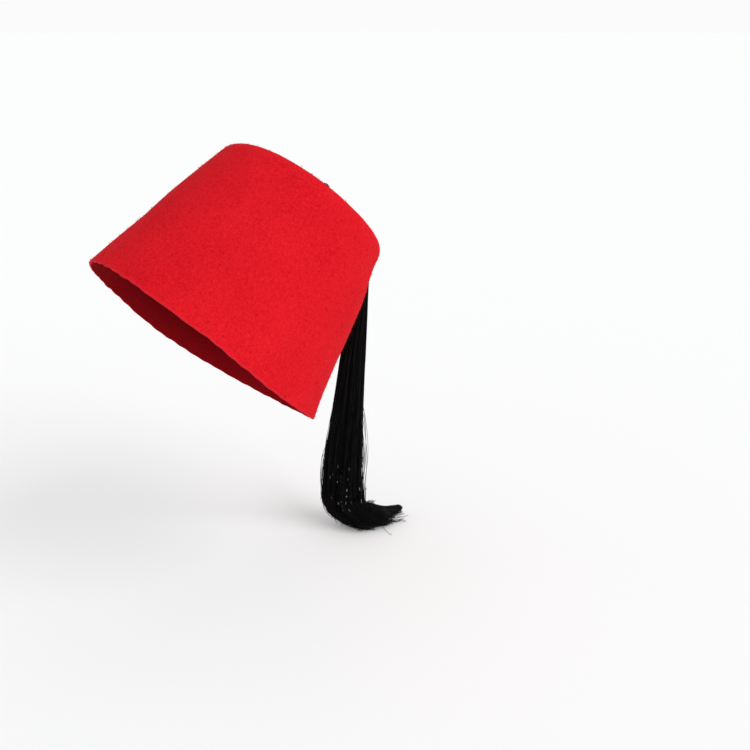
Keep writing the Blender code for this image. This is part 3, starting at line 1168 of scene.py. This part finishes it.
@dataclass
class Knob(RingPiece):
    """A bulb wrapped lengthwise in thread, with a rolled lip round the cord's socket."""

    name, node = "wrapped_knob", "tassel_knob"
    seat: KnobSeat
    radius: float = 0.0060
    length: float = 0.0110
    base_radius: float = 0.0042
    socket_radius: float = 0.0022
    socket_depth: float = 0.0040
    lip: float = 0.0012
    threads: int = 38
    thread: float = 0.00042
    bare: float = 0.7  # the share of the radius inside which the threads fade towards the socket
    twist: float = 60.0  # turn a metre of height, in radians
    sides: int = 5  # of a thread
    base_rings: tuple[float, ...] = (0.02, 0.4, 0.8, 0.95)
    stations: tuple[int, int, int] = (14, 20, 9)  # of the flank, the quarter ellipse and the lip
    finish: WoundFinish = WoundFinish()

    def outline(self) -> Array:
        """The line that is turned into the bulb: quarter ellipses, a rolled lip and the socket.

        Returns:
            (radius, height) from the middle of the base to the middle of the socket's floor.
        """
        flank_count, quarter_count, lip_count = self.stations
        middle = self.length - self.radius
        share = np.linspace(0, 1, flank_count)[:-1]
        flank = self.base_radius + (self.radius - self.base_radius) * np.sin(share * pi / 2)
        lip_middle = self.socket_radius + self.lip
        halves = (self.radius - lip_middle, self.length - middle)
        roll = np.linspace(pi / 2, pi, lip_count)[1:]
        floor = self.length - self.socket_depth
        parts = [
            [(self.base_radius * ring, 0) for ring in self.base_rings],
            np.stack([flank, share * middle], axis=1),
            arc((lip_middle, middle), halves, np.linspace(0, pi / 2, quarter_count)),
            arc((lip_middle, self.length - self.lip), self.lip, roll),
            [(self.socket_radius, floor), (self.socket_radius * 0.5, floor)],
        ]
        return np.vstack(parts)

    def rings(self) -> Array:
        """The outline turned about the knob's line, with a ridge for each thread on the bulb.

        Returns:
            The rings' points.
        """
        radius, height = self.outline().T[..., None]
        angle = once_round(self.threads * self.sides)
        phase = angle / tau * self.threads + height * self.twist * self.threads / tau
        covered = smoothstep(self.socket_radius, self.radius * self.bare, radius)
        depth = self.thread * covered * (thread_ridge(phase) - 1)
        return self.seat.turned(turned_rings(radius + depth, height, angle), 0.0)


@dataclass
class Binding(RingPiece):
    """The thread wound round the head of the skirt, turn beside turn."""

    name, node, looped = "wound_binding", "tassel_binding", True
    seat: KnobSeat
    length: float = 0.0080
    outer_radius: float = 0.0037
    inner_radius: float = 0.0030
    pitch: float = 0.00072
    thread: float = 0.00030
    sides: int = 48
    rows: int = 112
    inner_rows: int = 4
    finish: WoundFinish = WoundFinish()

    def rings(self) -> Array:
        """A barrel, inner + swell sqrt(sin), whose ridge climbs by the pitch with each turn.

        Returns:
            The rings' points.
        """
        height = self.length + GAP  # its last turn lies against the knob
        share = np.linspace(0, 1, self.rows)[1:-1, None]
        down = np.linspace(1, 0, self.inner_rows)[:, None]
        angle = once_round(self.sides)
        fade = np.sqrt(np.sin(pi * share))
        barrel = self.inner_radius + (self.outer_radius - self.inner_radius) * fade
        ridge = thread_ridge(share * height / self.pitch + angle / tau)
        outside = turned_rings(barrel + self.thread * fade * (ridge - 1), share * height, angle)
        inside = turned_rings(self.inner_radius, down * height, angle)
        return self.seat.turned(np.concatenate([outside, inside]), height)


@dataclass
class Cord(RingPiece):
    """A waxed cord of three strands, from its knot under the top, over the felt and into the knob."""

    name, slot, node = "twisted_cord", Slot.CORD, "cord"
    seat: KnobSeat
    knob: Knob
    radius: float = 0.0008
    strand: float = 1 / (1 + 2 / sqrt(3))  # the radius of three that touch, as a share
    groove: float = 0.62  # the least share of the radius
    knot_radius: float = 0.0026
    knot_half_length: float = 0.0030
    end_under_knot: float = 0.0006
    level_in_socket: float = 0.0040
    pitch: float = 0.0052
    stations: int = 460
    sides: int = 24
    arch: tuple[Span, ...] = (  # distance from the hole, height over the felt
        (0.0006, 0.0030),
        (0.0035, 0.0078),
        (0.0075, 0.0096),
        (0.0115, 0.0088),
        (0.0215, 0.0074),
    )
    finish: WoundFinish = WoundFinish("waxed black cord", roughness=0.28, shine=0.35)

    def route(self) -> Array:
        """Up from the knot through the hole, and in a low arch into the knob's socket.

        Returns:
            Points of the cord's middle line.
        """
        crown, seat, mouth = self.seat.crown, self.seat, -self.knob.length
        under_knot = crown.apex - crown.felt - 2 * self.knot_half_length
        on_line = (mouth - self.level_in_socket, mouth, mouth + self.knob.socket_depth - GAP)
        rows = [
            (0, 0, under_knot - self.end_under_knot),
            (0, 0, under_knot + self.knot_half_length),
            (0, 0, crown.apex - crown.felt / 2),
            *(seat.over_top(*row) for row in self.arch),
            *(seat.on_line(along) for along in on_line),
        ]
        return smooth_route(rows, self.stations)

    def rings(self) -> Array:
        """The outline carried along the route, turned once in each pitch, and swollen at the knot.

        Returns:
            The rings' points.
        """
        route, crown, half = self.route(), self.seat.crown, self.knot_half_length
        along = distances(route)[:, None]
        knot_middle = crown.apex - crown.felt - half - GAP
        from_knot = np.clip(np.abs(route[:, 2:] - knot_middle) / half, 0, 1)
        swell = np.where(along < half * 3, np.sqrt(1 - from_knot**2), 0)
        angle = once_round(self.sides)
        size = self.radius + (self.knot_radius - self.radius) * swell
        strands = touching(angle - along / self.pitch * tau, 3, self.strand)
        radius = size * np.maximum(strands, self.groove)
        axes = [axis[:, None] for axis in across_and_out(route)]
        return leaned(set_off(route[:, None], axes, radius * np.cos(angle), radius * np.sin(angle)))


# ---- the skirt of the tassel ----


@dataclass
class Skirt:
    """The bundle's middle line and half sizes, from the binding over the shoulder to the floor."""

    seat: KnobSeat
    binding_length: float = 0.0080
    head_radius: float = 0.0025
    rows: int = 640
    locks: int = 8
    lock_share: float = 0.50
    shoulder: tuple[Triple, ...] = (  # angle, half wide, half thick
        (72, 0.0058, 0.0034),
        (56, 0.0078, 0.0036),
        (40, 0.0086, 0.0040),
    )
    hanging: tuple[Section, ...] = (
        (-0.0098, 0.1432, 0.0350, 0.0088, 0.0048),
        (-0.0126, 0.1431, 0.0100, 0.0089, 0.0065),
        (-0.0153, 0.1398, -0.0320, 0.0103, 0.0096),
        (-0.0183, 0.1366, -0.0750, 0.0124, 0.0116),
        (-0.0218, 0.1337, -0.1190, 0.0155, 0.0152),
        (-0.0236, 0.1325, -0.1506, 0.0153, 0.0153),
        (-0.0231, 0.1342, -0.1647, 0.0168, 0.0170),
        (-0.0121, 0.1411, -0.1776, 0.0157, 0.0103),
        (-0.0095, 0.1530, -0.1785, 0.0152, 0.0087),
        (-0.0094, 0.1677, -0.1836, 0.0128, 0.0043),
        (-0.0045, 0.1847, -0.1842, 0.0106, 0.0033),
    )

    def __post_init__(self) -> None:
        """Works out the sections and their two axes once."""
        rows = [*self.head(), *self.over_shoulder(), *self.hanging]
        sections = smooth_route(rows, self.rows)
        self.table = np.hstack([sections, *across_and_out(sections[:, :3])])

    def head(self) -> list[Section]:
        """Sections inside the binding."""
        end, halves = GAP + self.binding_length, (self.head_radius, self.head_radius)
        return [(*leaned(self.seat.on_line(along)), *halves) for along in (GAP, end / 2, end)]

    def over_shoulder(self) -> list[Section]:
        """Sections round the shoulder's arc, clear of the felt by two gaps.

        Returns:
            The sections.
        """
        radius, height = self.seat.crown.shoulder_centre()
        made = []
        for turn, half_wide, half_thick in self.shoulder:
            reach = self.seat.crown.shoulder_radius + 2 * GAP + half_thick
            out, up = reach * cos(radians(turn)), reach * sin(radians(turn))
            place = self.seat.place(radius + out, height + up)
            made.append((*leaned(place), half_wide, half_thick))
        return made

    def outline(self, angle: Array) -> Array:
        """Shares of the half size at angles round the bundle, whose locks make it fluted."""
        return touching(angle - pi / self.locks, self.locks, self.lock_share)

    def at(self, share: Array, wide: Array, thick: Array) -> Array:
        """Points of the bundle.

        Formula: middle + wide half_wide across + thick half_thick out, all of them read
        off the sections at this share of the skirt's length.

        Args:
            share: of the length, from the binding to the end.
            wide: shares of the half width.
            thick: shares of the half thickness.

        Returns:
            Points of the same form, and x, y, z.
        """
        place = np.clip(share, 0, 1) * (self.rows - 1)
        rows = np.arange(self.rows)
        read = np.stack([np.interp(place, rows, column) for column in self.table.T], axis=-1)
        axes = (read[..., 5:8], read[..., 8:11])
        return set_off(read[..., :3], axes, wide * read[..., 3], thick * read[..., 4])


@dataclass
class SkirtCore(RingPiece):
    """The dark inside of the bundle, which closes it where the threads leave gaps."""

    name = "tassel_core"
    skirt: Skirt
    share: float = 0.74
    start: float = 0.002
    end: float = 0.91
    tapering: float = 0.12  # the share of the length over which it narrows to its end
    blunt: float = 0.01  # which keeps the end from closing
    rows: int = 90
    sides: int = 120
    ridges: int = 40
    ridge: float = 0.02
    ridge_waves: Span = (25, 1.5)  # along it: how often, and how far round, in radians
    finish: WoundFinish = WoundFinish(
        "inner black thread", (0.0008, 0.0008, 0.0009), (0.0025, 0.0022, 0.0022), 0.7, 0.02
    )

    def rings(self) -> Array:
        """The bundle's outline at a share of its size, ridged by threads and tapered to its end.

        Returns:
            The rings' points.
        """
        along = np.linspace(self.start, self.end, self.rows)[:, None]
        angle = once_round(self.sides)
        taper = np.sqrt(np.clip((self.end - along) / self.tapering + self.blunt, 0, 1))
        often, far = self.ridge_waves
        ridge = 1 + self.ridge * np.cos(angle * self.ridges + np.sin(along * often) * far)
        size = self.share * taper * self.skirt.outline(angle) * ridge
        along = np.broadcast_to(along, size.shape)
        return self.skirt.at(along, size * np.cos(angle), size * np.sin(angle))


@dataclass
class Threads(StrandPiece):
    """The threads of the skirt: each keeps its place in the bundle, wanders a little and ends ragged."""

    name, seed = "tassel_threads", SEED + 2
    skirt: Skirt
    count: int = 1600
    radius: float = 0.00023
    places: tuple[float, ...] = (  # of a whole thread's stations: closest where it bends
        *(0.0, 0.03, 0.055, 0.075, 0.095, 0.115, 0.14, 0.18, 0.27, 0.40),
        *(0.55, 0.68, 0.745, 0.785, 0.815, 0.845, 0.875, 0.91, 0.955, 1.0),
    )
    inner: float = 0.68  # where the innermost threads run, as a share of the bundle
    bound: float = 0.14  # the share of the skirt in which the threads are pressed thin
    freeing: Span = (0.16, 0.45)  # where they come free to wander
    wander: float = 0.045  # as a share of the half size
    wander_round: float = 0.10  # in radians
    waves: Span = (5, 14)  # of wandering over the skirt's length, in radians
    lock_ends: tuple[float, ...] = (0.912, 0.940, 0.970, 1.0, 0.990, 0.960, 0.922, 0.905)
    end_scatter: float = 0.012
    shortest: float = 0.86
    splay: float = 0.35  # how far the ends spread, as a share of the half size
    splay_share: float = 0.10  # over this much of the length
    splaying: Span = (0.86, 0.94)  # where ends have to be to spread
    splayed: Span = (-0.3, 1)  # how much of it, drawn for each
    above_floor: float = 0.00005
    finish: ThreadFinish = ThreadFinish()

    def ends(self, angle: Array) -> Array:
        """Where threads end: the length of the nearest locks, with a scatter.

        Args:
            angle: of each thread round the bundle.

        Returns:
            Shares of the skirt's length.
        """
        count = len(self.lock_ends)
        locks = np.arange(-1, count + 1)
        lengths = np.interp(angle / tau * count - 0.5, locks, np.take(self.lock_ends, locks % count))
        scatter = self.rng.normal(0, self.end_scatter, angle.shape)
        return np.clip(lengths + scatter, self.shortest, 1.0)

    def lay(
        self, share: Array, angle: Array, depth: Array | float, bow: Array, thick: Array | float
    ) -> Strands:
        """Threads laid along the skirt.

        Formula: a thread's place in a section is depth times the bundle's outline at its
        angle. Two slow sines move it round and in or out where it hangs free, its end
        spreads, and bow moves it outwards by any amount. It stays on the floor.

        Args:
            share: of the skirt's length, at each thread's stations.
            angle: round the bundle (threads, stations or 1).
            depth: share of the outline (threads, 1), or one for all.
            bow: how far outwards it stands at each station, in metres.
            thick: radius (threads, 1), or one for all, half of which it has in the binding.

        Returns:
            The strands.
        """
        count, uniform = len(share), self.rng.uniform
        free = smoothstep(*self.freeing, share)
        slow = uniform(0, tau, (2, count, 1))
        pace = uniform(*self.waves, (2, count, 1))
        turn = angle + free * self.wander_round * np.sin(share * pace[0] + slow[0])
        inwards = free * self.wander * np.sin(share * pace[1] + slow[1])
        last = smoothstep(-self.splay_share, 0.0, share - share[:, -1:])
        size = (depth + inwards) * self.skirt.outline(turn)
        spread = self.splay * last * smoothstep(*self.splaying, share)
        size += spread * uniform(*self.splayed, (count, 1))
        middle = self.skirt.at(share, size * np.cos(turn), size * np.sin(turn))
        heart = self.skirt.at(share, 0 * share, 0 * share)
        middle = middle + unit(middle - heart) * bow[..., None]
        radius = thick * (0.5 + 0.5 * smoothstep(0.0, self.bound, share))
        middle[..., 2] = np.maximum(middle[..., 2], FLOOR + radius + self.above_floor)
        return Strands(middle, radius)

    def strands(self) -> Strands:
        """The threads of the skirt.

        Returns:
            The strands.
        """
        angle = self.rng.uniform(0, tau, self.count)
        depth = np.sqrt(self.rng.uniform(self.inner**2, 1, self.count))[:, None]
        share = self.ends(angle)[:, None] * np.array(self.places)
        return self.lay(share, angle[:, None], depth, 0 * share, self.radius)


class BowGroup(NamedTuple):
    """Threads that leave the bundle's face at one share of its length and meet it again at another."""

    count: int
    angle: float  # round the bundle, in degrees
    angle_spread: float
    radius: float
    start: Span
    stop: Span
    reach: Span  # how far they stand out


class EndGroup(NamedTuple):
    """Short threads whose ends stick out of the bundle and curl."""

    count: int
    angle: float  # round the bundle, in degrees
    angle_spread: float
    radius: float
    curl: float  # how far the curl strays, in metres
    free: Span  # the share of the skirt over which they leave it
    stop: Span  # where they end, as a share of the skirt
    reach: Span  # how far the ends stand out


@dataclass
class StrayThreads(Threads):
    """Threads that bow out of the bundle on either side, and short ones whose ends stick out."""

    name, seed = "tassel_strays", SEED + 3
    stations: int = 24  # of each
    splay: float = 0.0
    bow_depth: float = 0.99  # how near the face they run, as a share of the bundle
    end_depth: float = 0.97
    hidden: float = 0.02  # how far a bow's ends go on in the bundle
    fullness: float = 0.6  # 1 would make a bow a plain sine
    curling: Span = (3, 10)  # turn of a loose end, in radians
    bowed: tuple[BowGroup, ...] = (
        BowGroup(4, 53.7, 4, 0.00019, (0.50, 0.54), (0.845, 0.87), (0.0034, 0.0050)),
        BowGroup(9, 53.7, 8, 0.00020, (0.56, 0.70), (0.83, 0.865), (0.0014, 0.0036)),
        BowGroup(14, 53.7, 12, 0.00022, (0.60, 0.77), (0.79, 0.86), (0.0008, 0.0026)),
        BowGroup(5, 233.7, 5, 0.00024, (0.63, 0.68), (0.77, 0.80), (0.0028, 0.0040)),
        BowGroup(10, 233.7, 9, 0.00022, (0.64, 0.76), (0.74, 0.83), (0.0006, 0.0018)),
        BowGroup(36, 180.0, 110, 0.00014, (0.40, 0.66), (0.70, 0.82), (0.0003, 0.0014)),
    )
    ending: tuple[EndGroup, ...] = (
        EndGroup(110, 215.0, 60, 0.00018, 0.0003, (0.014, 0.035), (0.66, 0.94), (0.0006, 0.0026)),
        EndGroup(130, 245.0, 32, 0.00026, 0.0007, (0.012, 0.030), (0.80, 0.93), (0.0010, 0.0030)),
        EndGroup(40, 20.0, 60, 0.00016, 0.0004, (0.02, 0.05), (0.66, 0.88), (0.0004, 0.0022)),
        EndGroup(22, 72.0, 22, 0.00020, 0.0008, (0.014, 0.035), (0.79, 0.87), (0.0004, 0.0018)),
        EndGroup(60, 105.0, 28, 0.00022, 0.0010, (0.02, 0.05), (0.83, 0.92), (0.0010, 0.0040)),
        EndGroup(70, 320.0, 35, 0.00022, 0.0008, (0.02, 0.04), (0.86, 0.94), (0.0008, 0.0030)),
        EndGroup(90, 180.0, 120, 0.00016, 0.0009, (0.03, 0.06), (0.93, 1.0), (0.0003, 0.0030)),
    )
    fallen: tuple[Triple, ...] = (  # one thread that lies on the floor
        (-0.0112, 0.1600, -0.18752),
        (-0.0032, 0.1583, -0.18783),
        (0.0034, 0.1566, -0.18786),
        (0.0111, 0.1549, -0.18786),
        (0.0166, 0.1549, -0.18786),
    )
    fallen_radius: float = 0.00016
    bundle_radius: float = 0.010  # by which a curl's way round is turned into an angle

    def part_way(self, start: Array, end: Array) -> Array:
        """Even stations along threads that show only from a start to an end."""
        return start + (end - start) * np.linspace(0, 1, self.stations)

    def drawn(self, groups: Sequence[BowGroup | EndGroup]) -> dict[str, Array]:
        """Values for all the threads of some groups: drawn between limits, or the group's own.

        Args:
            groups: the groups.

        Returns:
            A value for each thread (threads, 1), by the field's name, with the angle in radians.
        """
        drawn = (
            [self.rng.uniform(*np.broadcast_to(value, 2), group.count) for value in group]
            for group in groups
        )
        values = (np.concatenate(parts)[:, None] for parts in zip(*drawn))
        made = dict(zip(groups[0]._fields, values))
        made["angle"] = np.radians(self.rng.normal(made["angle"], made["angle_spread"])) % tau
        return made

    def bows(self) -> Strands:
        """The bowed threads: they stand out by reach sin^fullness of the way over their stretch.

        Returns:
            The strands.
        """
        made = self.drawn(self.bowed)
        start, stop = made["start"], made["stop"]
        share = self.part_way(start - self.hidden, stop + self.hidden)
        way = np.clip((share - start) / (stop - start), 0, 1)
        bow = made["reach"] * np.sin(pi * way) ** self.fullness
        return self.lay(share, made["angle"], self.bow_depth, bow, made["radius"])

    def loose_ends(self) -> Strands:
        """The short threads, which leave the face with the square of the way and curl at their ends.

        Formula: with w the share of the way, reach w^2 + curl w cos(turns w) outwards, and
        curl w sin(turns w) round the bundle.

        Returns:
            The strands.
        """
        made = self.drawn(self.ending)
        stop, curl, each = made["stop"], made["curl"], made["stop"].shape
        share = self.part_way(stop - made["free"], stop)
        way = np.linspace(0, 1, self.stations)[None]
        turns = self.rng.uniform(*self.curling, each) * way + self.rng.uniform(0, tau, each)
        bow = made["reach"] * way**2 + curl * way * np.cos(turns)
        angle = made["angle"] + curl * way * np.sin(turns) / self.bundle_radius
        return self.lay(share, angle, self.end_depth, bow, made["radius"])

    def strands(self) -> Strands:
        """The stray threads, and the one that has fallen.

        Returns:
            The strands.
        """
        bows, ends = self.bows(), self.loose_ends()
        lying = smooth_route(self.fallen, self.stations)[None]
        radius = np.full(self.stations, self.fallen_radius)
        middle = np.concatenate([bows.middle, ends.middle, lying])
        return Strands(middle, np.vstack([bows.radius, ends.radius, radius]))


# ---- the studio ----


@dataclass(frozen=True)
class SoftSun:
    """A broad soft light from one side, as even over the floor as over the hat."""

    toward: Triple = (0.86, 0.33, 0.61)  # from the hat to the light
    strength: float = 1.885
    softness: float = radians(48.0)

    def build(self) -> None:
        """Places the lamp and turns it."""
        lamp = bpy.data.lights.new("soft side light", "SUN")
        lamp.energy = self.strength
        lamp.angle = self.softness
        placed = add_object("soft side light", lamp)
        away = Vector(self.toward).normalized()
        placed.location = away * 2
        placed.rotation_euler = away.to_track_quat("Z", "Y").to_euler()


@dataclass
class Studio:
    """A pale floor, an even pale surround, a soft side light and the camera at the photo's angle."""

    eye: Triple = (0.63938, -0.32001, 0.22020)
    azimuth: float = 53.70
    pitch: float = 18.86
    lens: float = 50.4
    sensor: float = 36.0
    clip: Span = (0.01, 100.0)
    surround: float = 0.965  # the walls' brightness
    ceiling: float = 0.74  # the ceiling's
    walls_end: Span = (0.30, 0.75)  # heights of direction between which it falls
    floor_radius: float = 30.0
    floor_rings: tuple[float, ...] = (0.00001, 0.01, 0.03, 0.1, 0.3, 0.999, 1.0)
    floor_sides: int = 96
    floor_thickness: float = 0.002
    light: SoftSun = SoftSun()
    finish: FloorFinish = FloorFinish()

    def build_camera(self) -> None:
        """The camera, turned by its azimuth and tipped down by its pitch."""
        lens = bpy.data.cameras.new("camera")
        lens.lens = self.lens
        lens.sensor_width = self.sensor
        lens.clip_start, lens.clip_end = self.clip
        camera = add_object("camera", lens)
        camera.location = self.eye
        camera.rotation_euler = (pi / 2 - radians(self.pitch), 0.0, radians(self.azimuth))
        bpy.context.scene.camera = camera

    def build_floor(self) -> None:
        """A flat round sheet: rings of points at z = floor, thin and closed."""
        radius = np.array(self.floor_rings)[:, None] * self.floor_radius
        top = turned_rings(radius, FLOOR, once_round(self.floor_sides))
        under = top[::-1] - np.array([0, 0, self.floor_thickness])
        floor = add_rings("pale_floor", np.concatenate([top, under]))
        floor.data.materials.append(self.finish.material())

    def build_world(self) -> None:
        """White walls all round, which fall to a dimmer ceiling with the height of the direction."""
        world = bpy.data.worlds.new("pale surround")
        shader = Shader(world)
        height = shader.part_of(shader.node("ShaderNodeTexCoord", output="Generated"), "Z")
        low, high = self.walls_end
        share = ((height - low) / (high - low)).clamped()
        strength = self.surround + share * (self.ceiling - self.surround)
        white = {"Color": (1.0, 1.0, 1.0, 1.0), "Strength": strength}
        shader.send(shader.node("ShaderNodeBackground", inputs=white), "ShaderNodeOutputWorld")
        bpy.context.scene.world = world

    def build(self) -> None:
        """Everything round the hat."""
        bpy.context.scene.view_settings.view_transform = "Standard"
        self.build_world()
        self.build_camera()
        self.build_floor()
        self.light.build()


def main() -> None:
    """Builds the studio and then the hat, piece by piece."""
    logging.basicConfig(level=logging.INFO, format="%(name)s: %(message)s")
    Studio().build()
    crown = Crown()
    seat = KnobSeat(crown)
    skirt, knob = Skirt(seat), Knob(seat)
    tassel = (Binding(seat), SkirtCore(skirt), Threads(skirt), StrayThreads(skirt))
    for part in (crown, FeltFuzz(crown), Cord(seat, knob), knob, *tassel):
        piece = part.build()
        mesh = piece.data
        log.info("%s: %d vertices, %d faces", piece.name, len(mesh.vertices), len(mesh.polygons))


if __name__ == "__main__":
    main()
